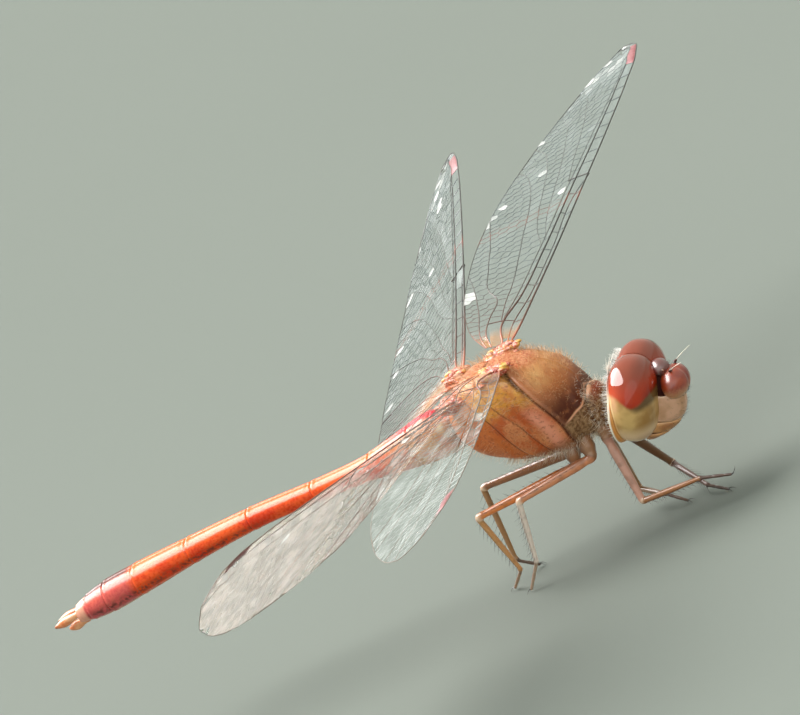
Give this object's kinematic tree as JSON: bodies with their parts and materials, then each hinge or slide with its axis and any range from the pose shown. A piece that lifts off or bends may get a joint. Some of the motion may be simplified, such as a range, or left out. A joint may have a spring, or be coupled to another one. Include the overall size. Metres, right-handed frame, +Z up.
{
  "type": "perched red meadowhawk dragonfly (still model)",
  "caption": "Life-size perched red meadowhawk dragonfly with spread, slightly twisted clear wings, a slim red abdomen and a raised near front foot, as a still museum model.",
  "frame": {"origin": "on the floor under the middle of the model's box, between the feet and the tail", "axes": "+X towards the head, +Y to the insect's left along the wings, +Z up from the floor the feet stand on"},
  "size_m": [0.0336, 0.0518, 0.0137],
  "materials": {
    "thorax_brown": "rust-brown chitin with fine pale hair",
    "abdomen_red": "glossy red chitin",
    "eye_red": "glossy faceted compound eye, dark red over olive tan",
    "face_tan": "tan chitin with short hair",
    "face_red": "red-orange chitin",
    "leg_tan": "tan to brown chitin with black spines",
    "wing_clear": "clear membrane with dark veins, red wing spots and amber bases"
  },
  "bodies": {
    "root": {"abdomen_01": "abdomen_red", "abdomen_02": "abdomen_red", "abdomen_03": "abdomen_red", "abdomen_04": "abdomen_red", "abdomen_05": "abdomen_red", "abdomen_06": "abdomen_red", "abdomen_07": "abdomen_red", "abdomen_08": "abdomen_red", "abdomen_09": "abdomen_red", "abdomen_10": "abdomen_red", "antenna_left": "leg_tan", "antenna_right": "leg_tan", "cercus_left": "face_tan", "cercus_right": "face_tan", "clypeus": "face_tan", "epiproct": "face_tan", "eye_left": "eye_red", "eye_right": "eye_red", "frons": "face_red", "head": "thorax_brown", "labium": "face_tan", "labrum": "face_tan", "leg_fore_left_coxa": "leg_tan", "leg_fore_left_femur": "leg_tan", "leg_fore_left_tarsus": "leg_tan", "leg_fore_left_tibia": "leg_tan", "leg_fore_right_coxa": "leg_tan", "leg_fore_right_femur": "leg_tan", "leg_fore_right_tarsus": "leg_tan", "leg_fore_right_tibia": "leg_tan", "leg_hind_left_coxa": "leg_tan", "leg_hind_left_femur": "leg_tan", "leg_hind_left_tarsus": "leg_tan", "leg_hind_left_tibia": "leg_tan", "leg_hind_right_coxa": "leg_tan", "leg_hind_right_femur": "leg_tan", "leg_hind_right_tarsus": "leg_tan", "leg_hind_right_tibia": "leg_tan", "leg_mid_left_coxa": "leg_tan", "leg_mid_left_femur": "leg_tan", "leg_mid_left_tarsus": "leg_tan", "leg_mid_left_tibia": "leg_tan", "leg_mid_right_coxa": "leg_tan", "leg_mid_right_femur": "leg_tan", "leg_mid_right_tarsus": "leg_tan", "leg_mid_right_tibia": "leg_tan", "neck": "thorax_brown", "prothorax": "thorax_brown", "thorax": "thorax_brown", "wing_fore_left": "wing_clear", "wing_fore_right": "wing_clear", "wing_hind_left": "wing_clear", "wing_hind_right": "wing_clear"}
  },
  "joints": []
}
